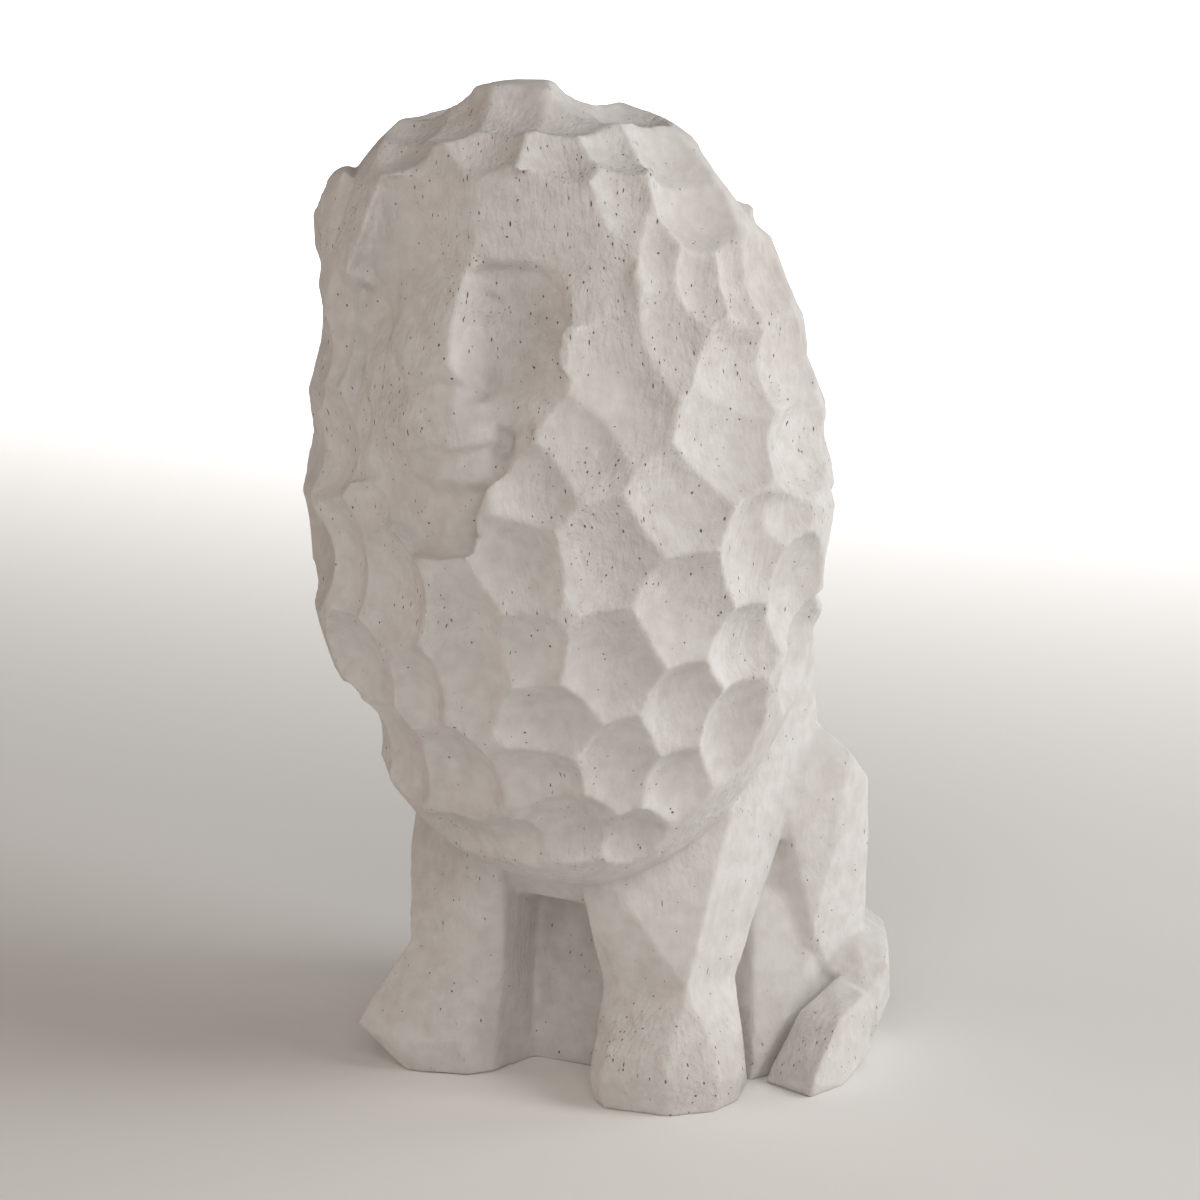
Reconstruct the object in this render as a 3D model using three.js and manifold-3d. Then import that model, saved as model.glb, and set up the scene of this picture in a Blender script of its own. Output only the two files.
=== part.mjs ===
// A seated lion, cast in one piece in pale mineral clay, with a mane carved in scoops.
// Millimetres, +Z up. The lion looks along -Y and its left side is +X.
import * as THREE from 'three';
import Module from 'manifold-3d';
import { ConvexGeometry } from 'three/addons/geometries/ConvexGeometry.js';
import { ParametricGeometry } from 'three/addons/geometries/ParametricGeometry.js';
import { mergeVertices } from 'three/addons/utils/BufferGeometryUtils.js';

const wasm = await Module();
wasm.setup();

// The mane is an egg whose centre line leans forward above and below its widest ring
const maneTop = 280;
const maneWidest = 165;
const maneBottom = 60;
const maneRadius = 74;
const maneAxisY = 11;
const maneLeanTop = 15;
const maneLeanBottom = 8;
const leanSpan = 97;
const crownRoundness = 0.66;
// It hangs fuller over the left shoulder than over the right
const hangRight = 0.5;
const hangLeft = 0.37;

// Each scoop is a shallow bowl, given by how far its cutter reaches past the scoop's own size
const scoopSpread = 0.95;
const scoopDepth = 0.18;
const scoopLeastDepth = 1.5;
const scoopBluntness = 4;

// The face is cut into the mane and turned a little to the lion's left
const faceTurn = 5;
const faceAxisY = 5;

// How finely the egg and the scoops are faceted
const eggSides = 40;
const eggRings = 22;
const scoopDetail = 2;

// Matt cast clay, off-white
const castClay = new THREE.MeshStandardMaterial({ color: 0xd9d4cf, roughness: 0.95, metalness: 0 });

const solidOf = (geometry) => {
  const bare = geometry.index ? geometry.toNonIndexed() : geometry;
  bare.deleteAttribute('normal');
  bare.deleteAttribute('uv');
  const merged = mergeVertices(bare, 1e-3);
  const vertProperties = new Float32Array(merged.attributes.position.array);
  const triVerts = new Uint32Array(merged.index.array);
  return new wasm.Manifold(new wasm.Mesh({ numProp: 3, vertProperties, triVerts }));
};

const hull = (corners) => solidOf(new ConvexGeometry(corners.map((p) => new THREE.Vector3(...p))));

const mirrored = (corners) => corners.map(([x, y, z]) => [-x, y, z]);

// Corners given in the face's own turned frame
const faceHull = (corners) => {
  const turn = THREE.MathUtils.degToRad(faceTurn);
  return hull(corners.map(([x, y, z]) => [
    x * Math.cos(turn) - y * Math.sin(turn),
    faceAxisY + x * Math.sin(turn) + y * Math.cos(turn),
    z,
  ]));
};

const maneCentreY = (z) => {
  const lean = z > maneWidest ? maneLeanTop : maneLeanBottom;
  return maneAxisY - lean * ((z - maneWidest) / leanSpan) ** 2;
};

const maneReach = (turn, z) => {
  const above = (z - maneWidest) / (maneTop - maneWidest);
  const below = (maneWidest - z) / (maneWidest - maneBottom);
  const crown = 1 - crownRoundness * above ** 1.6 - (1 - crownRoundness) * above ** 5;
  if (z > maneWidest) return maneRadius * Math.sqrt(Math.max(0, crown));
  const hang = THREE.MathUtils.lerp(hangRight, hangLeft, Math.max(0, Math.sin(turn)));
  return maneRadius * Math.max(0, 1 - below ** 1.7) ** hang;
};

const maneSurface = (azimuth, z) => {
  const turn = THREE.MathUtils.degToRad(azimuth);
  const reach = maneReach(turn, z);
  return new THREE.Vector3(reach * Math.sin(turn), maneCentreY(z) - reach * Math.cos(turn), z);
};

const egg = () => {
  const place = (u, v, target) => {
    const z = maneBottom + (maneTop - maneBottom) * (1 - Math.cos(Math.PI * v)) / 2;
    target.copy(maneSurface(360 * u, z));
  };
  return solidOf(new ParametricGeometry(place, eggSides, eggRings));
};

// A blunt ball that takes one scoop out of the mane, square to its surface
const scoopCutter = ([azimuth, z, width, height]) => {
  const step = 0.5;
  const depth = scoopDepth * Math.min(width, height) + scoopLeastDepth;
  const thick = scoopBluntness * depth;
  const along = maneSurface(azimuth + step, z).sub(maneSurface(azimuth - step, z));
  const up = maneSurface(azimuth, z + step).sub(maneSurface(azimuth, z - step));
  const outward = along.cross(up).normalize();
  const tool = new THREE.Object3D();
  tool.up.set(0, 0, 1);
  tool.position.copy(maneSurface(azimuth, z)).addScaledVector(outward, thick - depth);
  tool.lookAt(tool.position.clone().add(outward));
  tool.scale.set(scoopSpread * width, scoopSpread * height, thick);
  tool.updateMatrix();
  return solidOf(new THREE.IcosahedronGeometry(1, scoopDetail).applyMatrix4(tool.matrix));
};

const gougeCutter = ({ at, size, faces }) => {
  const [wide, high, deep] = size;
  const tool = new THREE.Object3D();
  tool.up.set(0, 0, 1);
  tool.lookAt(new THREE.Vector3(...faces));
  tool.scale.set(wide, high, deep);
  tool.position.set(...at);
  const face = new THREE.Object3D();
  face.rotation.z = THREE.MathUtils.degToRad(faceTurn);
  face.position.set(0, faceAxisY, 0);
  face.add(tool);
  face.updateMatrixWorld();
  return solidOf(new THREE.IcosahedronGeometry(1, scoopDetail).applyMatrix4(tool.matrixWorld));
};

// Scoops on the sides that the lion shows: turn about the mane in degrees, from straight ahead
// towards the lion's left, then height, and the scoop's own width and height
const shownScoops = [
  [20, 277, 34, 20], [80, 276, 34, 24], [7, 269, 26, 21], [45, 266, 22, 22], [-42, 264, 26, 22],
  [-14, 262, 36, 15], [60, 252, 18, 30], [76, 266, 24, 22], [101, 262, 32, 28], [90, 250, 26, 32],
  [64, 241, 15, 31], [73, 232, 17, 22], [86, 229, 14, 28], [102, 228, 24, 26], [48, 231, 11, 20],
  [46, 206, 29, 42], [37, 191, 25, 28], [26, 179, 22, 22], [21, 160, 26, 27], [41, 163, 28, 31],
  [57, 175, 31, 28], [71, 192, 32, 32], [77, 206, 30, 29], [60, 218, 22, 28], [97, 206, 33, 28],
  [98, 183, 28, 27], [87, 166, 22, 15], [77, 158, 24, 31], [60, 147, 30, 29], [43, 133, 27, 30],
  [24, 137, 22, 20], [30, 118, 29, 20], [51, 104, 24, 29], [64, 118, 24, 30], [71, 97, 27, 23],
  [82, 110, 24, 36], [78, 134, 26, 24], [95, 145, 31, 31], [29, 101, 26, 18], [40, 86, 27, 18],
  [63, 81, 18, 18], [-11, 150, 27, 31], [-17, 171, 19, 18], [-35, 184, 24, 29],
  [-28, 155, 26, 33], [-22, 126, 31, 30], [-13, 103, 27, 26], [-3, 123, 18, 26],
  [5, 100, 29, 28], [-60, 272, 30, 22],
  [-2, 78, 30, 20], [22, 80, 26, 18], [-24, 82, 24, 22],
];

// Rows of like scoops round the back and the lion's right
const hiddenRows = [
  { z: 275, from: 130, to: 330, count: 4, width: 34, height: 26 },
  { z: 252, from: 124, to: 276, count: 6, width: 33, height: 30 },
  { z: 228, from: 128, to: 272, count: 5, width: 38, height: 31 },
  { z: 204, from: 124, to: 302, count: 6, width: 42, height: 32 },
  { z: 178, from: 120, to: 302, count: 7, width: 38, height: 31 },
  { z: 152, from: 120, to: 306, count: 6, width: 44, height: 31 },
  { z: 126, from: 106, to: 286, count: 7, width: 34, height: 31 },
  { z: 102, from: 284, to: 330, count: 3, width: 28, height: 28 },
];

const hiddenScoops = hiddenRows.flatMap(({ z, from, to, count, width, height }) => (
  Array.from({ length: count }, (_, i) => [from + (to - from) * i / (count - 1), z, width, height])
));

// Flat cuts that make the brow, the cheeks and the mouth, each one open to the front
const faceCuts = [
  [
    [1, -46, 263], [1, -46.5, 204], [-36, -41.5, 264], [-40, -40, 236], [-38, -40, 200],
    [1, -95, 300], [1, -95, 204], [-66, -95, 300], [-74, -95, 236], [-58, -95, 195],
  ],
  [
    [-1, -46, 263], [-1, -46.5, 228], [32, -38, 261], [34, -39, 226],
    [-1, -95, 300], [-1, -95, 226], [117, -95, 300], [80, -95, 250], [44, -95, 226],
  ],
  [
    [1, -36, 227], [24, -35, 226], [35, -41, 213], [1, -50, 197], [32, -49, 192], [22, -50, 186],
    [1, -95, 285], [24, -95, 280], [66, -95, 250], [50, -95, 186], [22, -95, 178], [1, -95, 195],
  ],
  [
    [-12, -48, 214], [-38, -40, 212], [-36, -43, 176], [-20, -50, 164], [-12, -56, 158],
    [-12, -95, 214], [-62, -95, 212], [-74, -95, 146], [-50, -95, 116], [-12, -95, 124],
  ],
  [
    [-16, -54, 208], [14, -54, 204], [12, -56, 168], [-14, -57, 158], [3, -57, 156],
    [-16, -95, 208], [20, -95, 206], [20, -95, 160], [-20, -95, 152], [5, -95, 148],
  ],
];

// Gouges in the face: centre, half width, half height, half depth, and the way each one faces
const gouges = [
  { at: [3, -66, 136], size: [15, 36, 9], faces: [-0.1, -1, 0] },
  { at: [-31, -42, 226], size: [10, 16, 6], faces: [-0.1, -1, -0.1] },
  { at: [16, -54, 189], size: [6, 7, 5], faces: [0.5, -1, 0] },
  { at: [-18, -44, 264], size: [16, 8, 6], faces: [-0.2, -1, -0.5] },
];

// The lock of mane that stands out where an ear would be, on the right
const earLock = [
  [-59, -24, 243], [-57.5, -24, 250], [-58, -24, 233], [-54, -21, 254], [-55, -22, 225], [-46, -35, 244],
  [-43, -37, 236], [-47, -34, 227], [-42, -34, 256], [-60, -8, 243], [-57, -8, 228], [-54, -8, 256],
  [-30, -20, 240],
];

const faceBlocks = {
  nose: [
    [0, -46, 240], [-2, -58, 217], [0, -60, 209], [-19, -54, 208], [-22, -43, 236], [3, -46, 237],
    [4, -47, 217], [4, -50, 206], [-20, -30, 236], [5, -30, 236], [-20, -30, 205], [5, -30, 205],
  ],
  muzzle: [
    [-13, -57, 208], [9, -57, 208], [10, -60, 200], [-13, -60, 199], [9, -58, 190], [-12, -57, 189],
    [-34, -46, 206], [-35, -45, 180], [-26, -50, 176], [18, -50, 200], [17, -49, 191], [18, -40, 195],
    [-34, -30, 200], [-30, -30, 178],
  ],
  lowerLip: [
    [-11, -55, 187], [11, -55, 188], [-10, -58, 183], [10, -58, 184], [-9, -55, 178], [1, -57, 177],
    [11, -55, 179], [-12, -40, 188], [12, -40, 188], [0, -40, 178],
  ],
  chin: [
    [-27, -50, 178], [13, -54, 180], [-5, -58, 166], [11, -58, 164], [-17, -57, 161], [0, -56, 180],
    [-20, -40, 140], [14, -40, 140], [-20, -40, 180], [12, -40, 180], [-6, -57, 140], [8, -57, 140],
  ],
};

// Limbs and body, each one convex block. The left side is the one that shows
const hindQuarter = [
  [50, 49, 84], [50, 63, 97], [60, 63, 90], [60, 73, 80], [60, 74, 60], [60, 54, 64], [50, 45, 75],
  [59, 69, 40], [57, 48, 41], [43, 52, 49], [38, 92, 66], [40, 93, 0], [0, 98, 62], [0, 98, 0],
  [0, 80, 100], [0, 46, 84], [36, 52, 0], [54, 76, 0], [43, 94, 8], [0, 98, 8], [57, 74, 8],
];

const hindFoot = [
  [44, 38, 54], [46, 34, 0], [52, 44, 19], [55, 50, 33], [28, 34, 0], [28, 38, 54], [56, 64, 0],
  [28, 60, 0], [55, 62, 42], [36, 60, 54],
];

const bodyBlocks = {
  torso: [
    [-46, 32, 132], [46, 32, 132], [-46, 58, 134], [46, 58, 134], [-49, 63, 100], [49, 63, 100],
    [-46, 32, 60], [46, 32, 60], [-40, 86, 60], [40, 86, 60], [-30, 30, 0], [30, 30, 0],
    [-38, 90, 0], [38, 90, 0],
  ],
  chest: [
    [-26, -8, 70], [26, -8, 70], [-26, -12, 92], [26, -12, 92], [-22, 6, 52], [22, 6, 52],
    [-20, 21, 47], [20, 21, 47], [-20, 40, 47], [20, 40, 47], [-26, 40, 92], [26, 40, 92],
  ],
  wallBetweenLegs: [
    [-30, 21, 0], [30, 21, 0], [-30, 42, 0], [30, 42, 0], [-30, 21, 57], [30, 21, 57], [-30, 42, 57], [30, 42, 57],
  ],
  leftShoulder: [
    [47, 14, 58], [48.5, 16, 77], [49, 18, 91], [50, 28, 108], [50, 40, 124], [49, 62, 128], [50, 62, 97],
    [50, 51, 83], [48, 48, 74], [48, 39, 62], [47, 29, 41], [30, 30, 41], [12, -4, 80], [12, 50, 124], [12, 30, 60],
  ],
  leftForeleg: [
    [16, 4, 29], [25.7, 0, 29], [45, 0, 34], [45, 26, 31], [17, 24, 29], [13, -3, 60], [47, 14, 58],
    [47, 29, 41], [48, 39, 62], [48.5, 16, 77], [10, -6, 80], [12, 30, 80],
  ],
  rightShoulder: [
    [-49, 6, 60], [-49, 12, 83], [-49, 62, 128], [-50, 62, 97], [-50, 51, 83], [-48, 39, 62], [-47, 29, 41],
    [-30, 30, 41], [-12, -4, 80], [-12, 50, 124], [-12, 30, 60], [-49, 32, 118],
  ],
  rightForeleg: [
    [-16, 4, 29], [-25.7, 0, 29], [-45, 0, 34], [-45, 26, 31], [-17, 24, 29], [-13, -3, 60], [-49, 6, 60],
    [-47, 29, 41], [-48, 39, 62], [-49, 12, 83], [-10, -6, 80], [-12, 30, 80],
  ],
  leftPaw: [
    [19, -5, 0], [25, -10, 0], [43, -7, 0], [52, 4, 0], [52, 15, 0], [46, 31, 0],
    [18, -7, 7], [25, -13, 10], [44, -10, 10], [54, 3, 9], [54, 16, 9],
    [19, -6, 15], [26, -11, 17], [43, -9, 17], [52, 4, 17], [52, 15, 17],
    [16, 4, 30], [25.7, 0, 31], [45, 0, 35], [45, 26, 32], [17, 24, 30], [17, 24, 0],
  ],
  rightPaw: [
    [-40, -9, 0], [-33, -8, 0], [-23, -4, 0], [-19, 2, 0], [-17, 24, 0], [-47, -2, 0], [-48, 25, 0],
    [-56, -10, 12], [-56, 0, 13], [-42, -14, 9], [-24, -8, 11], [-53, -7, 19], [-53, 2, 20], [-40, -12, 17],
    [-16, 4, 30], [-25.7, 0, 31], [-45, 0, 35], [-45, 26, 32], [-17, 24, 30],
  ],
  leftHindQuarter: hindQuarter,
  rightHindQuarter: mirrored(hindQuarter),
  leftHindFoot: hindFoot,
  rightHindFoot: mirrored(hindFoot),
  tailTuft: [
    [55, 44, 19], [52, 34.6, 5], [50, 34, 0], [68, 28, 0], [70, 26, 5], [70, 38.6, 18.6], [70, 54.6, 23.4],
    [60, 58, 27], [70, 43, 0], [70, 57, 6], [69, 62, 21], [62, 68, 0], [52, 60, 0],
  ],
  tail: [
    [69, 58, 22], [70, 68, 29], [67, 73, 33], [60, 66, 36], [54, 60, 28], [68, 66, 12], [62, 64, 0], [52, 97, 32],
    [44, 90, 40], [58, 90, 12], [54, 88, 0], [42, 98, 12], [40, 94, 0], [40, 80, 0], [52, 62, 0],
  ],
};

let lion = egg().add(hull(earLock));
for (const corners of faceCuts) lion = lion.subtract(faceHull(corners));
for (const corners of Object.values(faceBlocks)) lion = lion.add(faceHull(corners));
for (const scoop of [...shownScoops, ...hiddenScoops]) lion = lion.subtract(scoopCutter(scoop));
for (const gouge of gouges) lion = lion.subtract(gougeCutter(gouge));
for (const corners of Object.values(bodyBlocks)) lion = lion.add(hull(corners));

const meshOf = (solid, name) => {
  const { vertProperties, triVerts } = solid.getMesh();
  const geometry = new THREE.BufferGeometry();
  geometry.setAttribute('position', new THREE.BufferAttribute(Float32Array.from(vertProperties), 3));
  geometry.setIndex(new THREE.BufferAttribute(Uint32Array.from(triVerts), 1));
  const mesh = new THREE.Mesh(geometry, castClay);
  mesh.name = name;
  return mesh;
};

// The origin is on the ground under the middle of the lion
const body = meshOf(lion, 'lion');
body.geometry.computeBoundingBox();
const middle = body.geometry.boundingBox.getCenter(new THREE.Vector3());
body.geometry.translate(-middle.x, -middle.y, 0);

const group = new THREE.Group();
group.add(body);

export default group;
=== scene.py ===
import math
import bpy, bmesh
from mathutils import Vector, Matrix
from mathutils.geometry import delaunay_2d_cdt


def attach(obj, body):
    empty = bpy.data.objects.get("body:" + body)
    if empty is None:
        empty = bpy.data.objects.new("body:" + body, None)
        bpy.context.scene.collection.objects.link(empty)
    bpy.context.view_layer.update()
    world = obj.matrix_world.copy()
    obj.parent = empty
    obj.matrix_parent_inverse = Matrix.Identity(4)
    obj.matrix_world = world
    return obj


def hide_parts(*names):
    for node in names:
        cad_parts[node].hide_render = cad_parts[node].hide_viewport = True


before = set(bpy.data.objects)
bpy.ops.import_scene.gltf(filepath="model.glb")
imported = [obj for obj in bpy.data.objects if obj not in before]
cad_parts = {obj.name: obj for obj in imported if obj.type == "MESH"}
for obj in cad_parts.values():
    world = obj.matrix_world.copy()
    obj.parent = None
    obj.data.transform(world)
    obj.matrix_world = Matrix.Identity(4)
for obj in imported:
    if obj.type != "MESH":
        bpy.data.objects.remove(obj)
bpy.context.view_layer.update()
scene = bpy.context.scene

# sizes are in millimetres from the front of the forelegs and the ground, as the sculptor would measure them
mane = {
    "top": 280, "widest": 165, "bottom": 60, "radius": 74.5, "axisY": 11, "flatFront": 0.075,
    "leanTop": 15, "leanBottom": 8, "leanSpan": 97, "crownRoundness": 0.66, "hangRight": 0.5, "hangLeft": 0.37,
    "sides": 180, "rings": 110,
}
face = {"turn": math.radians(5), "axisY": 5}
middleX, middleY = 0.252, 18.842  # the origin lies under the middle of the outline


def place(x, y, z):
    return Vector(((x - middleX) / 1000, (y - middleY) / 1000, z / 1000))


def placeFace(x, y, z):  # the face has its own frame, turned a little to the lion's left
    c, s = math.cos(face["turn"]), math.sin(face["turn"])
    return place(x * c - y * s, face["axisY"] + x * s + y * c, z)


def linear(code):
    parts = [int(code[i:i + 2], 16) / 255 for i in (1, 3, 5)]
    return tuple(c / 12.92 if c <= 0.04045 else ((c + 0.055) / 1.055) ** 2.4 for c in parts) + (1,)


def addNode(tree, kind, settings=None, inputs=None):
    node = tree.nodes.new(kind)
    for name, value in (settings or {}).items():
        setattr(node, name, value)
    for name, value in (inputs or {}).items():
        socket = node.inputs[name]
        if isinstance(value, bpy.types.NodeSocket):
            tree.links.new(value, socket)
        else:
            socket.default_value = value
    return node


def newObject(name, data):
    thing = bpy.data.objects.new(name, data)
    scene.collection.objects.link(thing)
    return thing


def drop(things):
    for thing in things:
        data = thing.data
        bpy.data.objects.remove(thing)
        bpy.data.meshes.remove(data)


def hullOf(name, corners, at=place):
    bm = bmesh.new()
    for corner in corners:
        bm.verts.new(at(*corner))
    bmesh.ops.convex_hull(bm, input=bm.verts)
    bmesh.ops.delete(bm, geom=[v for v in bm.verts if not v.link_faces], context="VERTS")
    bmesh.ops.recalc_face_normals(bm, faces=bm.faces)
    mesh = bpy.data.meshes.new(name)
    bm.to_mesh(mesh)
    bm.free()
    return newObject(name, mesh)


def settle(thing):
    # turns the live result into a plain mesh and takes the modifiers off
    shown = thing.evaluated_get(bpy.context.evaluated_depsgraph_get())
    mesh = bpy.data.meshes.new_from_object(shown)
    thing.modifiers.clear()
    old = thing.data
    thing.data = mesh
    bpy.data.meshes.remove(old)


def carve(body, tools, how):
    for tool in tools:
        cut = body.modifiers.new(tool.name, "BOOLEAN")
        cut.operation, cut.solver, cut.object = how, "MANIFOLD", tool
    settle(body)
    drop(tools)


# --- the mane's egg ---
def maneCentreY(z):
    lean = mane["leanTop"] if z > mane["widest"] else mane["leanBottom"]
    return mane["axisY"] - lean * ((z - mane["widest"]) / mane["leanSpan"]) ** 2


def maneReach(turn, z):
    reach = mane["radius"] * (1 - mane["flatFront"] * max(0, math.cos(turn)) ** 2)
    if z > mane["widest"]:
        above = (z - mane["widest"]) / (mane["top"] - mane["widest"])
        crown = 1 - mane["crownRoundness"] * above ** 1.6 - (1 - mane["crownRoundness"]) * above ** 5
        return reach * math.sqrt(max(0, crown))
    below = (mane["widest"] - z) / (mane["widest"] - mane["bottom"])
    hang = mane["hangRight"] + (mane["hangLeft"] - mane["hangRight"]) * max(0, math.sin(turn))
    return reach * max(0, 1 - below ** 1.7) ** hang


def maneSurface(azimuth, z):
    turn = math.radians(azimuth)
    reach = maneReach(turn, z)
    return Vector((reach * math.sin(turn), maneCentreY(z) - reach * math.cos(turn), z))


def makeEgg():
    bm = bmesh.new()
    sides, rings = mane["sides"], mane["rings"]
    rows = []
    for r in range(1, rings):
        z = mane["bottom"] + (mane["top"] - mane["bottom"]) * (1 - math.cos(math.pi * r / rings)) / 2
        rows.append([bm.verts.new(place(*maneSurface(360 * s / sides, z))) for s in range(sides)])
    low = bm.verts.new(place(*maneSurface(0, mane["bottom"])))
    high = bm.verts.new(place(*maneSurface(0, mane["top"])))
    for s in range(sides):
        t = (s + 1) % sides
        bm.faces.new((low, rows[0][t], rows[0][s]))
        bm.faces.new((high, rows[-1][s], rows[-1][t]))
        for a, b in zip(rows, rows[1:]):
            bm.faces.new((a[s], a[t], b[t], b[s]))
    bmesh.ops.recalc_face_normals(bm, faces=bm.faces)
    mesh = bpy.data.meshes.new("lion")
    bm.to_mesh(mesh)
    bm.free()
    return newObject("lionStone", mesh)


# --- the scoops ---
scoops = {
    "spread": 0.93, "depth": 0.24, "leastDepth": 1.9, "bluntness": 4, "fineness": 5,
    # turn about the mane in degrees from straight ahead, height, width, height of the scoop
    "shown": [
        (14, 277, 34, 24), (61, 276, 28, 22), (121, 277, 48, 24), (8, 268, 24, 22), (43, 266, 20, 20),
        (-33, 266, 24, 17), (-11, 262, 30, 15), (57, 252, 16, 29), (69, 268, 20, 20), (90, 263, 22, 34),
        (83, 251, 26, 27), (63, 241, 11, 30), (72, 232, 15, 22), (84, 230, 12, 26), (98, 228, 20, 26),
        (48, 231, 10, 19), (47, 206, 29, 43), (38, 191, 26, 29), (26, 179, 22, 22), (21, 159, 27, 27),
        (41, 163, 29, 31), (57, 176, 32, 28), (70, 192, 32, 33), (76, 206, 29, 29), (60, 218, 21, 28),
        (95, 207, 27, 27), (94, 186, 32, 26), (84, 167, 24, 15), (76, 160, 23, 31), (59, 147, 29, 30),
        (43, 132, 26, 31), (23, 136, 22, 21), (28, 116, 30, 21), (49, 102, 22, 31), (62, 117, 22, 30),
        (67, 96, 21, 22), (79, 110, 20, 32), (76, 134, 24, 23), (91, 146, 24, 29), (25, 98, 27, 19),
        (36, 83, 28, 23), (59, 80, 16, 20), (7, 136, 25, 50), (-14, 149, 27, 32), (-19, 170, 19, 17),
        (-36, 184, 27, 28), (-27, 192, 19, 30), (-31, 154, 24, 33), (-32, 123, 29, 30), (-31, 97, 25, 27),
        (-10, 121, 18, 27), (-5, 96, 30, 31), (-37, 214, 16, 30), (-50, 272, 28, 22),
        (14, 78, 24, 16), (-14, 76, 26, 16),
    ],
    # rows of like scoops round the back: height, first and last turn, count, width, height
    "rows": [
        (275, 130, 330, 4, 34, 26), (252, 124, 276, 6, 33, 30), (228, 128, 272, 5, 38, 31),
        (204, 124, 302, 6, 42, 32), (178, 120, 302, 7, 38, 31), (152, 120, 306, 6, 44, 31),
        (126, 106, 286, 7, 34, 31), (102, 284, 330, 3, 28, 28),
    ],
}


def allScoops():
    for z, first, last, count, width, height in scoops["rows"]:
        for i in range(count):
            yield first + (last - first) * i / (count - 1), z, width, height
    yield from scoops["shown"]


def scoopPoints():
    # one point for each scoop, with the turn and size of its tool
    points, turns, sizes = [], [], []
    for azimuth, z, width, height in allScoops():
        depth = scoops["depth"] * min(width, height) + scoops["leastDepth"]
        thick = scoops["bluntness"] * depth
        along = maneSurface(azimuth + 0.5, z) - maneSurface(azimuth - 0.5, z)
        up = maneSurface(azimuth, z + 0.5) - maneSurface(azimuth, z - 0.5)
        outward = along.cross(up).normalized()
        across = Vector((0, 0, 1)).cross(outward).normalized()
        turn = Matrix((across, outward.cross(across), outward)).transposed()
        points.append(place(*(maneSurface(azimuth, z) + outward * (thick - depth))))
        turns.append(turn.to_euler())
        sizes.append(Vector((scoops["spread"] * width, scoops["spread"] * height, thick)) / 1000)
    mesh = bpy.data.meshes.new("scoopPoints")
    mesh.from_pydata(points, [], [])
    for name, values in (("scoopTurn", turns), ("scoopSize", sizes)):
        layer = mesh.attributes.new(name, "FLOAT_VECTOR", "POINT")
        layer.data.foreach_set("vector", [c for v in values for c in v])
    return newObject("scoopPoints", mesh)


def newTree(name, sizes):
    tree = bpy.data.node_groups.new(name, "GeometryNodeTree")
    tree.interface.new_socket("Geometry", in_out="INPUT", socket_type="NodeSocketGeometry")
    for label, kind in sizes:
        tree.interface.new_socket(label, in_out="INPUT", socket_type=kind)
    tree.interface.new_socket("Geometry", in_out="OUTPUT", socket_type="NodeSocketGeometry")
    return tree, addNode(tree, "NodeGroupInput"), addNode(tree, "NodeGroupOutput")


def useTree(thing, tree, values):
    step = thing.modifiers.new(tree.name, "NODES")
    step.node_group = tree
    for item in tree.interface.items_tree:
        if item.in_out == "INPUT" and item.name in values:
            step[item.identifier] = values[item.name]
    return step


def scoopTree():
    tree, given, result = newTree("scoopMane", [
        ("Scoops", "NodeSocketObject"), ("Fineness", "NodeSocketInt"), ("Unevenness", "NodeSocketFloat"),
        ("Uneven Length", "NodeSocketFloat"), ("Material", "NodeSocketMaterial"),
    ])
    points = addNode(tree, "GeometryNodeObjectInfo", None, {"Object": given.outputs["Scoops"]})
    turn = addNode(tree, "GeometryNodeInputNamedAttribute", {"data_type": "FLOAT_VECTOR"}, {"Name": "scoopTurn"})
    size = addNode(tree, "GeometryNodeInputNamedAttribute", {"data_type": "FLOAT_VECTOR"}, {"Name": "scoopSize"})
    ball = addNode(tree, "GeometryNodeMeshIcoSphere", None, {"Radius": 1.0, "Subdivisions": given.outputs["Fineness"]})
    rotation = addNode(tree, "FunctionNodeEulerToRotation", None, {"Euler": turn.outputs["Attribute"]})
    tools = addNode(tree, "GeometryNodeInstanceOnPoints", None, {
        "Points": points.outputs["Geometry"], "Instance": ball.outputs["Mesh"],
        "Rotation": rotation.outputs["Rotation"], "Scale": size.outputs["Attribute"]})
    cut = addNode(tree, "GeometryNodeMeshBoolean", {"operation": "DIFFERENCE", "solver": "MANIFOLD"}, {
        "Mesh 1": given.outputs["Geometry"], "Mesh 2": tools.outputs["Instances"]})
    real = addNode(tree, "GeometryNodeRealizeInstances", None, {"Geometry": cut.outputs["Mesh"]})
    dressed = addNode(tree, "GeometryNodeSetMaterial", None, {
        "Geometry": real.outputs["Geometry"], "Material": given.outputs["Material"]})
    tree.links.new(dressed.outputs["Geometry"], result.inputs["Geometry"])
    return tree


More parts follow.
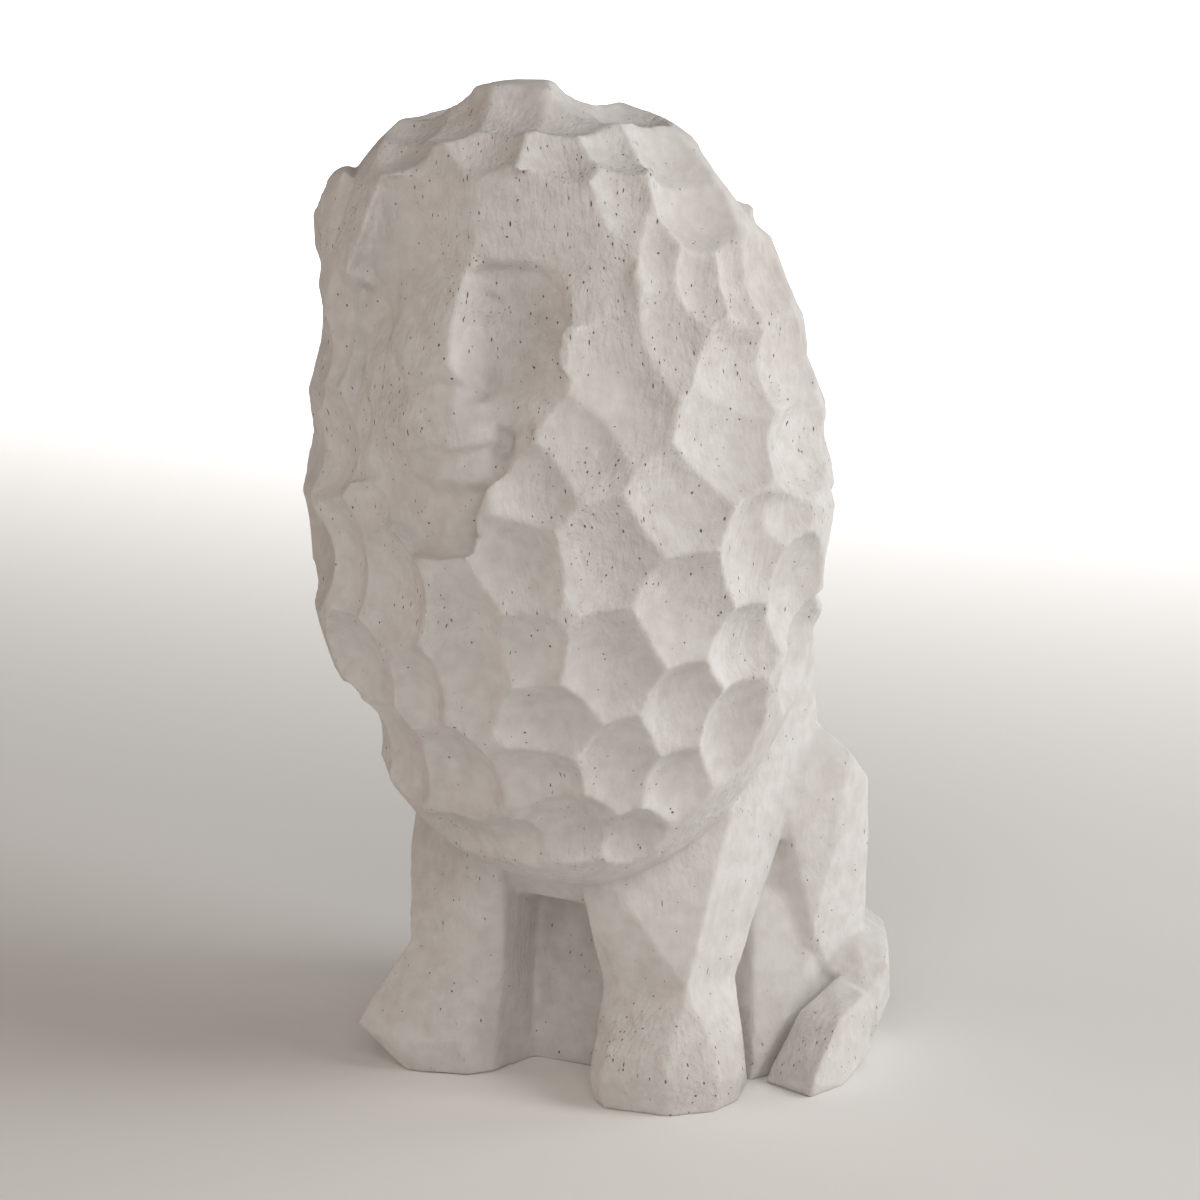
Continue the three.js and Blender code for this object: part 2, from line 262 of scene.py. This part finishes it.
# the face is one height over the front, worked out line by line: ridges, creases and the edges of planes
faceLines = {
    "outline": [
        (-28.5, -42.5, 256.5), (-13.5, -44.5, 259.5), (1.5, -46.5, 262), (12.5, -43.5, 262),
        (24.5, -40.5, 259.5), (31, -39, 257.5), (30, -34.5, 264.5), (34.5, -28.5, 264.5),
        (41.5, -27.5, 257.5), (44, -32.5, 249.5), (43.5, -38, 240), (43, -41, 229.5),
        (38.5, -46.5, 221.5), (30.5, -49, 223), (28.5, -51, 213.5), (32.5, -52.5, 207),
        (29, -54.5, 201), (25.5, -56.5, 197), (23, -57.5, 195.5), (22, -57.5, 191), (18, -58.5, 186.5),
        (11.5, -54.5, 180), (9, -54, 173), (8, -54, 166.5), (6, -54.5, 161), (-3, -56.5, 159),
        (-12.5, -56, 160), (-19, -55, 168.5), (-25, -53.5, 177), (-32.5, -49, 176), (-36, -51, 175),
        (-39.5, -49, 184), (-39.5, -48, 197.5), (-39, -47, 210.5), (-40.5, -44.5, 223.5),
        (-38, -44.5, 230), (-37, -40, 232.5), (-32.5, -42, 242), (-31, -42, 248),
    ],
    "fold of the forehead": [(31, -39, 257.5), (34.5, -38, 251.5), (38.5, -37, 243), (43.5, -38, 240)],
    "ridge": [
        (1.5, -46.5, 262), (1, -46.5, 255.5), (0.5, -46.5, 247), (1, -47.5, 239), (-1, -49, 233.5),
        (-2, -51.5, 227.5), (-2, -55, 220.5), (-1, -58.5, 211),
    ],
    "brow left": [
        (1, -47.5, 239), (3, -45.5, 236.5), (10.5, -44, 237), (17, -43, 237), (21.5, -43, 235),
        (25.5, -44.5, 232.5), (28.5, -47, 228.5), (30.5, -49, 223),
    ],
    "under the brow": [
        (1.5, -41.5, 233), (9, -40.5, 233.5), (15.5, -40, 233.5), (21, -41, 230.5), (24.5, -43, 227),
    ],
    "crease left": [
        (1.5, -44, 231), (1.5, -41, 227), (7, -40.5, 225), (15.5, -40.5, 224), (25.5, -44, 223),
    ],
    "nose foot": [(1.5, -44, 231), (0.5, -43, 221.5), (2, -46, 214), (4, -49, 208), (5.5, -52, 201.5)],
    "nose wing": [(-1, -58.5, 211), (2, -56, 206), (5.5, -52, 201.5)],
    "nose end": [(-15.5, -57, 208), (-7.5, -58.5, 208.5), (-1, -58.5, 211)],
    "bridge right": [
        (-37, -40, 232.5), (-30, -42.5, 234.5), (-24, -43, 231.5), (-19.5, -48, 226.5),
        (-19.5, -50.5, 220), (-17.5, -54, 215), (-15.5, -57, 208),
    ],
    "nose flank": [(-17.5, -54, 215), (-24, -49, 212), (-29, -48, 207)],
    "socket right": [(-38, -38, 225), (-31, -40, 226), (-33.5, -38.5, 217.5), (-27.5, -41, 219.5)],
    "socket crease": [(-39, -39, 217.5), (-33.5, -38.5, 217.5), (-27.5, -41, 219.5)],
    "valley": [
        (-39, -39, 217.5), (-35, -41.5, 210), (-36.5, -42, 200.5), (-38, -43.5, 191.5),
        (-38, -46, 182),
    ],
    "cheek ridge right": [
        (-29, -48, 207), (-30.5, -49, 198.5), (-31, -50, 187.5), (-28.5, -52, 180.5),
        (-25, -53.5, 177),
    ],
    "under the nose": [(-15, -55.5, 204.5), (-7.5, -56.5, 205), (-0.5, -56, 205), (3, -54, 203)],
    "muzzle top": [
        (-13, -58.5, 200), (-6.5, -59, 201), (1, -58.5, 201.5), (6.5, -56, 201), (9, -53.5, 201.5),
    ],
    "muzzle edge": [
        (-13, -58.5, 200), (-12.5, -60, 195.5), (-9.5, -61, 193), (-4.5, -61.5, 190.5),
        (1.5, -61.5, 189.5), (7, -60, 191), (10, -57.5, 192), (10, -55.5, 196), (9, -53.5, 201.5),
    ],
    "mouth": [
        (-8.5, -59, 188), (0, -58.5, 187), (6, -57.5, 188.5), (9.5, -54.5, 189), (11, -49.5, 188),
    ],
    "lip top": [(-9, -60, 186), (1, -60, 185.5), (8, -58.5, 187), (11.5, -54, 185.5)],
    "lip bottom": [(-10.5, -60, 182), (-2.5, -61, 181), (5, -60.5, 180.5), (10.5, -57.5, 181.5)],
    "under the lip": [(-17, -56, 177), (-4.5, -57.5, 176.5), (4.5, -57, 177), (9.5, -55, 178)],
    "chin": [(-12, -57, 168.5), (-1, -58, 168.5), (6, -56, 170)],
    "dark corner": [(10.5, -53, 194), (15.5, -53, 194.5), (23, -57.5, 195.5)],
    "corner hole": [(11, -49.5, 188), (13.5, -50, 189.5)],
    "cheek": [
        (9, -45, 215.5), (17.5, -46, 215), (11, -49.5, 207), (20, -50.5, 207), (13.5, -53, 199.5),
        (20.5, -54, 200),
    ],
}


def faceSlab(name, depth):
    # everything between the face and an upright plane, in front of it or behind it
    spots = list(dict.fromkeys(spot for line in faceLines.values() for spot in line))
    edges = []
    for line in faceLines.values():
        edges += [(spots.index(a), spots.index(b)) for a, b in zip(line, line[1:])]
    rim = [spots.index(spot) for spot in faceLines["outline"]]
    edges.append((rim[-1], rim[0]))
    flat = [Vector((x, z)) for x, y, z in spots]
    corners, newEdges, triangles, fromSpot, fromEdge, fromFace = delaunay_2d_cdt(flat, edges, [rim], 1, 0.01)
    bm = bmesh.new()
    near = [bm.verts.new(placeFace(*spots[origin[0]])) for origin in fromSpot]
    far = [bm.verts.new(placeFace(spots[origin[0]][0], depth, spots[origin[0]][2])) for origin in fromSpot]
    for triangle in triangles:
        bm.faces.new([near[i] for i in triangle])
        bm.faces.new([far[i] for i in reversed(triangle)])
    for edge in [edge for edge in bm.edges if len(edge.link_faces) == 1 and edge.verts[0] in set(near)]:
        a, b = (near.index(v) for v in edge.verts)
        bm.faces.new((near[a], near[b], far[b], far[a]))
    bmesh.ops.recalc_face_normals(bm, faces=bm.faces)
    mesh = bpy.data.meshes.new(name)
    bm.to_mesh(mesh)
    bm.free()
    return newObject(name, mesh)


# --- legs, haunches and tail ---
earLock = [
    (-59, -24, 243), (-57.5, -24, 250), (-58, -24, 233), (-54, -21, 254), (-55, -22, 225), (-46, -35, 244),
    (-43, -37, 236), (-47, -34, 227), (-42, -34, 256), (-60, -8, 243), (-57, -8, 228), (-54, -8, 256),
    (-30, -20, 240),
]
hindQuarter = [
    (50, 49, 84), (50, 63, 97), (60, 63, 90), (60, 73, 80), (60, 74, 60), (60, 54, 64), (50, 45, 75),
    (59, 69, 40), (57, 48, 41), (43, 52, 49), (38, 92, 66), (40, 93, 0), (0, 98, 62), (0, 98, 0),
    (0, 80, 100), (0, 46, 84), (36, 52, 0), (54, 76, 0), (43, 94, 8), (0, 98, 8), (57, 74, 8),
]
hindFoot = [
    (44, 38, 54), (46, 34, 0), (52, 44, 19), (55, 50, 33), (28, 34, 0), (28, 38, 54), (56, 64, 0),
    (28, 60, 0), (55, 62, 42), (36, 60, 54),
]
bodyBlocks = {
    "torso": [
        (-46, 32, 132), (46, 32, 132), (-46, 58, 134), (46, 58, 134), (-49, 63, 100), (49, 63, 100),
        (-46, 32, 60), (46, 32, 60), (-40, 86, 60), (40, 86, 60), (-30, 30, 0), (30, 30, 0),
        (-38, 90, 0), (38, 90, 0),
    ],
    "chest": [
        (-26, -8, 70), (26, -8, 70), (-26, -12, 92), (26, -12, 92), (-22, 6, 52), (22, 6, 52),
        (-20, 21, 47), (20, 21, 47), (-20, 40, 47), (20, 40, 47), (-26, 40, 92), (26, 40, 92),
    ],
    "wall between the legs": [
        (-30, 21, 0), (30, 21, 0), (-30, 42, 0), (30, 42, 0), (-30, 21, 57), (30, 21, 57), (-30, 42, 57), (30, 42, 57),
    ],
    "left shoulder": [
        (47, 14, 58), (48.5, 16, 77), (49, 18, 91), (50, 28, 108), (50, 40, 124), (49, 62, 128), (50, 62, 97),
        (50, 51, 83), (48, 48, 74), (48, 39, 62), (47, 29, 41), (30, 30, 41), (12, -4, 80), (12, 50, 124), (12, 30, 60),
    ],
    "left foreleg": [
        (16, 4, 29), (25.7, 0, 29), (45, 0, 34), (45, 26, 31), (17, 24, 29), (13, -3, 60), (47, 14, 58),
        (47, 29, 41), (48, 39, 62), (48.5, 16, 77), (10, -6, 80), (12, 30, 80),
    ],
    "right shoulder": [
        (-49, 6, 60), (-49, 12, 83), (-49, 62, 128), (-50, 62, 97), (-50, 51, 83), (-48, 39, 62), (-47, 29, 41),
        (-30, 30, 41), (-12, -4, 80), (-12, 50, 124), (-12, 30, 60), (-49, 32, 118),
    ],
    "right foreleg": [
        (-16, 4, 29), (-25.7, 0, 29), (-45, 0, 34), (-45, 26, 31), (-17, 24, 29), (-13, -3, 60), (-49, 6, 60),
        (-47, 29, 41), (-48, 39, 62), (-49, 12, 83), (-10, -6, 80), (-12, 30, 80),
    ],
    "left paw": [
        (19, -5, 0), (25, -10, 0), (43, -7, 0), (52, 4, 0), (52, 15, 0), (46, 31, 0),
        (18, -7, 7), (25, -13, 10), (44, -10, 10), (54, 3, 9), (54, 16, 9),
        (19, -6, 15), (26, -11, 17), (43, -9, 17), (52, 4, 17), (52, 15, 17),
        (16, 4, 30), (25.7, 0, 31), (45, 0, 35), (45, 26, 32), (17, 24, 30), (17, 24, 0),
    ],
    "right paw": [
        (-40, -9, 0), (-33, -8, 0), (-23, -4, 0), (-19, 2, 0), (-17, 24, 0), (-47, -2, 0), (-48, 25, 0),
        (-56, -10, 12), (-56, 0, 13), (-42, -14, 9), (-24, -8, 11), (-53, -7, 19), (-53, 2, 20), (-40, -12, 17),
        (-16, 4, 30), (-25.7, 0, 31), (-45, 0, 35), (-45, 26, 32), (-17, 24, 30),
    ],
    "left haunch": hindQuarter,
    "right haunch": [(-x, y, z) for x, y, z in hindQuarter],
    "left hind foot": hindFoot,
    "right hind foot": [(-x, y, z) for x, y, z in hindFoot],
    "tail tuft": [
        (55, 44, 19), (52, 34.6, 5), (50, 34, 0), (68, 28, 0), (70, 26, 5), (70, 38.6, 18.6), (70, 54.6, 23.4),
        (60, 58, 27), (70, 43, 0), (70, 57, 6), (69, 62, 21), (62, 68, 0), (52, 60, 0),
    ],
    "tail": [
        (69, 58, 22), (70, 68, 29), (67, 73, 33), (60, 66, 36), (54, 60, 28), (68, 66, 12), (62, 64, 0), (52, 97, 32),
        (44, 90, 40), (58, 90, 12), (54, 88, 0), (42, 98, 12), (40, 94, 0), (40, 80, 0), (52, 62, 0),
    ],
}

# --- how the hand leaves the surface ---
handwork = {
    "voxel": 0.0008,       # grain of the remeshed clay
    "waver": 0.0022,       # how far edges and planes wander from true
    "waverLength": 0.030,
    "lumps": 0.0005,       # soft dents inside a plane
    "lumpLength": 0.009,
    "softening": 2,        # passes that round the ridges
    "triangles": 190000,
}


def handworkTree():
    tree, given, result = newTree("handwork", [
        ("Waver", "NodeSocketFloat"), ("Waver Length", "NodeSocketFloat"), ("Lumps", "NodeSocketFloat"),
        ("Lump Length", "NodeSocketFloat"), ("Softening", "NodeSocketInt"), ("Material", "NodeSocketMaterial"),
    ])
    where = addNode(tree, "GeometryNodeInputPosition").outputs["Position"]
    waverScale = addNode(tree, "ShaderNodeMath", {"operation": "DIVIDE"}, {0: 1.0, 1: given.outputs["Waver Length"]})
    waver = addNode(tree, "ShaderNodeTexNoise", {"noise_dimensions": "3D"}, {
        "Vector": where, "Scale": waverScale.outputs[0], "Detail": 3.0, "Roughness": 0.5})
    centred = addNode(tree, "ShaderNodeVectorMath", {"operation": "SUBTRACT"}, {
        0: waver.outputs["Color"], 1: (0.5, 0.5, 0.5)})
    push = addNode(tree, "ShaderNodeVectorMath", {"operation": "SCALE"}, {
        0: centred.outputs[0], "Scale": given.outputs["Waver"]})
    bent = addNode(tree, "GeometryNodeSetPosition", None, {
        "Geometry": given.outputs["Geometry"], "Offset": push.outputs[0]})
    softened = addNode(tree, "GeometryNodeBlurAttribute", {"data_type": "FLOAT_VECTOR"}, {
        "Value": where, "Iterations": given.outputs["Softening"]})
    soft = addNode(tree, "GeometryNodeSetPosition", None, {
        "Geometry": bent.outputs["Geometry"], "Position": softened.outputs["Value"]})
    lumpScale = addNode(tree, "ShaderNodeMath", {"operation": "DIVIDE"}, {0: 1.0, 1: given.outputs["Lump Length"]})
    lumps = addNode(tree, "ShaderNodeTexNoise", {"noise_dimensions": "3D"}, {
        "Vector": where, "Scale": lumpScale.outputs[0], "Detail": 2.0, "Roughness": 0.55})
    height = addNode(tree, "ShaderNodeMath", {"operation": "SUBTRACT"}, {0: lumps.outputs[0], 1: 0.5})
    rise = addNode(tree, "ShaderNodeMath", {"operation": "MULTIPLY"}, {
        0: height.outputs[0], 1: given.outputs["Lumps"]})
    normal = addNode(tree, "GeometryNodeInputNormal")
    out = addNode(tree, "ShaderNodeVectorMath", {"operation": "SCALE"}, {
        0: normal.outputs["Normal"], "Scale": rise.outputs[0]})
    worked = addNode(tree, "GeometryNodeSetPosition", None, {
        "Geometry": soft.outputs["Geometry"], "Offset": out.outputs[0]})
    # nothing hangs below the ground it stands on
    split = addNode(tree, "ShaderNodeSeparateXYZ", None, {"Vector": where})
    floor = addNode(tree, "ShaderNodeMath", {"operation": "MAXIMUM"}, {0: split.outputs["Z"], 1: 0.0})
    flat = addNode(tree, "ShaderNodeCombineXYZ", None, {
        "X": split.outputs["X"], "Y": split.outputs["Y"], "Z": floor.outputs[0]})
    grounded = addNode(tree, "GeometryNodeSetPosition", None, {
        "Geometry": worked.outputs["Geometry"], "Position": flat.outputs[0]})
    real = addNode(tree, "GeometryNodeRealizeInstances", None, {"Geometry": grounded.outputs["Geometry"]})
    dressed = addNode(tree, "GeometryNodeSetMaterial", None, {
        "Geometry": real.outputs["Geometry"], "Material": given.outputs["Material"]})
    tree.links.new(dressed.outputs["Geometry"], result.inputs["Geometry"])
    return tree


# chamotte clay, unglazed: a pale dry body, dragged open by the tool into short marks and pin holes, which are coloured
# dark with the pit colour as painted shade inside them
clay = {
    # the pit colour is painted shade: a dark brown-grey put into the tool marks, pin holes and scratches where shade
    # falls inside them
    "light": "#dfdddb", "shade": "#d0cbc7", "pitShade": "#6a5f55",
    "mottle": 0.040, "speckle": 0.0045,             # metres from one tone to the next
    "leanLength": 0.028, "lean": 0.016,             # how the strokes swing from scoop to scoop
    "markWidth": 0.00125, "markLength": 0.0046, "markSize": 0.22,
    "holeSpacing": 0.0026, "holeSize": 0.13,
    "scratchWidth": 0.0035, "scratchLength": 0.030, "scratchSize": 0.07,
    "roughSpacing": 0.034,                          # smooth planes beside rough ones
    "grainSize": 0.0016, "grain": 0.00042, "strokes": 0.00065, "markDepth": 0.0006,
}


def castClay():
    material = bpy.data.materials.new("chamotteClay")
    material.use_nodes = True
    tree = material.node_tree
    tree.nodes.clear()
    where = addNode(tree, "ShaderNodeTexCoord").outputs["Object"]

    # the strokes lean one way in one scoop and another way in the next
    lean = addNode(tree, "ShaderNodeTexNoise", None, {
        "Vector": where, "Scale": 1 / clay["leanLength"], "Detail": 0.0})
    middle = addNode(tree, "ShaderNodeVectorMath", {"operation": "SUBTRACT"}, {
        0: lean.outputs["Color"], 1: (0.5, 0.5, 0.5)})
    push = addNode(tree, "ShaderNodeVectorMath", {"operation": "SCALE"}, {
        0: middle.outputs[0], "Scale": clay["lean"]})
    leaning = addNode(tree, "ShaderNodeVectorMath", {"operation": "ADD"}, {0: where, 1: push.outputs[0]})

    # rough and smooth planes
    patch = addNode(tree, "ShaderNodeTexNoise", None, {
        "Vector": where, "Scale": 1 / clay["roughSpacing"], "Detail": 1.0})
    rough = addNode(tree, "ShaderNodeMapRange", None, {
        "Value": patch.outputs[0], "From Min": 0.36, "From Max": 0.60, "To Min": 0.25})

    # three kinds of open mark: short drags, pin holes and a few long scratches
    marks = []
    for wide, long, most, least, share in (
        (clay["markWidth"], clay["markLength"], clay["markSize"], 0.15, rough.outputs[0]),
        (clay["holeSpacing"], clay["holeSpacing"], clay["holeSize"], 0.35, 1.0),
        (clay["scratchWidth"], clay["scratchLength"], clay["scratchSize"], 0.55, 1.0),
    ):
        stretched = addNode(tree, "ShaderNodeMapping", None, {
            "Vector": leaning.outputs[0], "Scale": (1 / wide, 1 / wide, 1 / long)})
        cells = addNode(tree, "ShaderNodeTexVoronoi", None, {"Vector": stretched.outputs[0], "Scale": 1.0})
        chance = addNode(tree, "ShaderNodeSeparateColor", None, {"Color": cells.outputs["Color"]})
        reach = addNode(tree, "ShaderNodeMapRange", None, {
            "Value": chance.outputs[0], "From Min": least, "To Max": most})
        kept = addNode(tree, "ShaderNodeMath", {"operation": "MULTIPLY"}, {0: reach.outputs[0], 1: share})
        inside = addNode(tree, "ShaderNodeMath", {"operation": "SUBTRACT"}, {
            0: kept.outputs[0], 1: cells.outputs["Distance"]})
        mark = addNode(tree, "ShaderNodeMapRange", None, {"Value": inside.outputs[0], "From Max": most * 0.35})
        marks.append(mark.outputs[0])
    mostMarks = addNode(tree, "ShaderNodeMath", {"operation": "MAXIMUM"}, {0: marks[0], 1: marks[1]})
    allMarks = addNode(tree, "ShaderNodeMath", {"operation": "MAXIMUM"}, {0: mostMarks.outputs[0], 1: marks[2]})

    # the body's own colour, cloudy with a finer speckle in it
    mottle = addNode(tree, "ShaderNodeTexNoise", None, {"Vector": where, "Scale": 1 / clay["mottle"], "Detail": 3.0})
    speckle = addNode(tree, "ShaderNodeTexNoise", None, {"Vector": where, "Scale": 1 / clay["speckle"], "Detail": 3.0})
    cloudy = addNode(tree, "ShaderNodeMath", {"operation": "ADD"}, {0: mottle.outputs[0], 1: speckle.outputs[0]})
    tone = addNode(tree, "ShaderNodeMapRange", None, {"Value": cloudy.outputs[0], "From Min": 0.75, "From Max": 1.25})
    body = addNode(tree, "ShaderNodeMix", {"data_type": "RGBA"}, {
        "Factor": tone.outputs[0], "A": linear(clay["light"]), "B": linear(clay["shade"])})
    # painted shade: the open marks are darkened toward the pit colour to stand in for the shade inside them, while
    # their real depth goes into the bump below
    paintedMarkShade = addNode(tree, "ShaderNodeMath", {"operation": "MULTIPLY"}, {0: allMarks.outputs[0], 1: 0.9})
    colour = addNode(tree, "ShaderNodeMix", {"data_type": "RGBA"}, {
        "Factor": paintedMarkShade.outputs[0], "A": body.outputs["Result"], "B": linear(clay["pitShade"])})

    # relief in metres: dry grain and tool strokes, stronger on the rough planes, less the open marks
    strokeWay = addNode(tree, "ShaderNodeMapping", None, {
        "Vector": leaning.outputs[0], "Scale": (1 / clay["markWidth"], 1 / clay["markWidth"], 1 / clay["markLength"])})
    strokes = addNode(tree, "ShaderNodeTexNoise", None, {"Vector": strokeWay.outputs[0], "Scale": 0.7, "Detail": 3.0})
    strokeHeight = addNode(tree, "ShaderNodeMath", {"operation": "MULTIPLY"}, {0: strokes.outputs[0], 1: clay["strokes"]})
    grain = addNode(tree, "ShaderNodeTexNoise", None, {"Vector": where, "Scale": 1 / clay["grainSize"], "Detail": 3.0})
    grainHeight = addNode(tree, "ShaderNodeMath", {"operation": "MULTIPLY_ADD"}, {
        0: grain.outputs[0], 1: clay["grain"], 2: strokeHeight.outputs[0]})
    worked = addNode(tree, "ShaderNodeMath", {"operation": "MULTIPLY"}, {0: grainHeight.outputs[0], 1: rough.outputs[0]})
    relief = addNode(tree, "ShaderNodeMath", {"operation": "MULTIPLY_ADD"}, {
        0: allMarks.outputs[0], 1: -clay["markDepth"], 2: worked.outputs[0]})
    bump = addNode(tree, "ShaderNodeBump", None, {"Distance": 1.0, "Height": relief.outputs[0]})
    shader = addNode(tree, "ShaderNodeBsdfPrincipled", None, {
        "Base Color": colour.outputs["Result"], "Roughness": 0.93, "Specular IOR Level": 0.25,
        "Normal": bump.outputs["Normal"]})
    addNode(tree, "ShaderNodeOutputMaterial", None, {"Surface": shader.outputs["BSDF"]})
    return material


clayMaterial = castClay()
lion = makeEgg()
carve(lion, [hullOf("ear lock", earLock)], "UNION")
carve(lion, [faceSlab("face behind", -25)], "UNION")
carve(lion, [faceSlab("face in front", -110)], "DIFFERENCE")
points = scoopPoints()
useTree(lion, scoopTree(), {
    "Scoops": points, "Fineness": scoops["fineness"], "Material": clayMaterial})
settle(lion)
drop([points])
print("mane scooped", len(lion.data.polygons))
carve(lion, [hullOf(name, corners) for name, corners in bodyBlocks.items()], "UNION")
print("body joined", len(lion.data.polygons))

remesh = lion.modifiers.new("clay", "REMESH")
remesh.mode, remesh.voxel_size = "VOXEL", handwork["voxel"]
useTree(lion, handworkTree(), {
    "Waver": handwork["waver"], "Waver Length": handwork["waverLength"], "Lumps": handwork["lumps"],
    "Lump Length": handwork["lumpLength"], "Softening": handwork["softening"], "Material": clayMaterial})
settle(lion)
print("surface worked", len(lion.data.polygons))
thin = lion.modifiers.new("thin", "DECIMATE")
thin.ratio = min(1, handwork["triangles"] / (2 * len(lion.data.polygons)))
settle(lion)
lion.data.materials.clear()
lion.data.materials.append(clayMaterial)
lion.data.polygons.foreach_set("use_smooth", [True] * len(lion.data.polygons))
print("lion finished", len(lion.data.polygons))

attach(lion, "root")
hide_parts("lion")

# --- floor, light and camera ---
studio = {
    "floor": "#f4f3f1", "distance": 1.6, "aim": (0, 20, 140), "azimuth": 32, "elevation": 12.5, "lens": 175.2,
    "aside": 4.2, "below": 6.2,  # the aim sits a little left of and above the middle of the picture
    # watts, and the way to each lamp: right of the camera's view, up and towards it
    "lamps": {
        "key": (9.5, (0.78, 0.50, 0.50)), "side": (10.0, (1.0, 0.10, -0.30)),
        "front": (5.5, (0.0, 0.30, 1.0)), "left": (3.7, (-0.95, 0.20, 0.10)),
    },
    "tints": {"key": "#ffffff", "side": "#ffffff", "front": "#fff7f0", "left": "#ffebdc"},
    "backdropPower": 60, "backdropSize": 3.0, "backdropAway": 2.7, "backdropHeight": 1.5, "backdropSpread": 60,
    "lampSize": 0.8, "lampDistance": 1.5, "sky": 0.15,
}
turn, rise = math.radians(studio["azimuth"]), math.radians(studio["elevation"])
back = Vector((math.sin(turn) * math.cos(rise), -math.cos(turn) * math.cos(rise), math.sin(rise)))
right = Vector((math.cos(turn), math.sin(turn), 0))
up = back.cross(right)
aim = place(*studio["aim"])
eye = aim + back * studio["distance"]
target = aim + (right * studio["aside"] - up * studio["below"]) / 1000
camera = bpy.data.objects.new("camera", bpy.data.cameras.new("camera"))
scene.collection.objects.link(camera)
camera.data.lens, camera.data.sensor_width = studio["lens"], 36
camera.location = eye
camera.rotation_euler = (target - eye).to_track_quat("-Z", "Y").to_euler()
scene.camera = camera


for name, (power, towards) in studio["lamps"].items():
    lamp = bpy.data.lights.new(name, "AREA")
    lamp.energy, lamp.size, lamp.color = power, studio["lampSize"], linear(studio["tints"][name])[:3]
    away = (right * towards[0] + up * towards[1] + back * towards[2]).normalized()
    softBox = bpy.data.objects.new(name, lamp)
    scene.collection.objects.link(softBox)
    softBox.location = aim + away * studio["lampDistance"]
    softBox.rotation_euler = (-away).to_track_quat("-Z", "Y").to_euler()

# a wide lamp over the floor behind keeps the paper pale without reaching the front of the lion
lamp = bpy.data.lights.new("backdrop", "AREA")
lamp.energy, lamp.size = studio["backdropPower"], studio["backdropSize"]
lamp.spread = math.radians(studio["backdropSpread"])
softBox = bpy.data.objects.new("backdrop", lamp)
scene.collection.objects.link(softBox)
softBox.location = (-back.x * studio["backdropAway"], -back.y * studio["backdropAway"], studio["backdropHeight"])

world = bpy.data.worlds.new("studio")
world.use_nodes = True
world.node_tree.nodes["Background"].inputs["Color"].default_value = linear("#fdf4ea")
world.node_tree.nodes["Background"].inputs["Strength"].default_value = studio["sky"]
scene.world = world
scene.view_settings.view_transform = "Standard"

floorMesh = bpy.data.meshes.new("floor")
floorMesh.from_pydata([(-6, -6, 0), (6, -6, 0), (6, 6, 0), (-6, 6, 0)], [], [(0, 1, 2, 3)])
floorObject = newObject("floor", floorMesh)
paper = bpy.data.materials.new("paperBackdrop")
paper.use_nodes = True
paper.node_tree.nodes["Principled BSDF"].inputs["Base Color"].default_value = linear(studio["floor"])
paper.node_tree.nodes["Principled BSDF"].inputs["Roughness"].default_value = 0.9
floorMesh.materials.append(paper)
print("stage set")
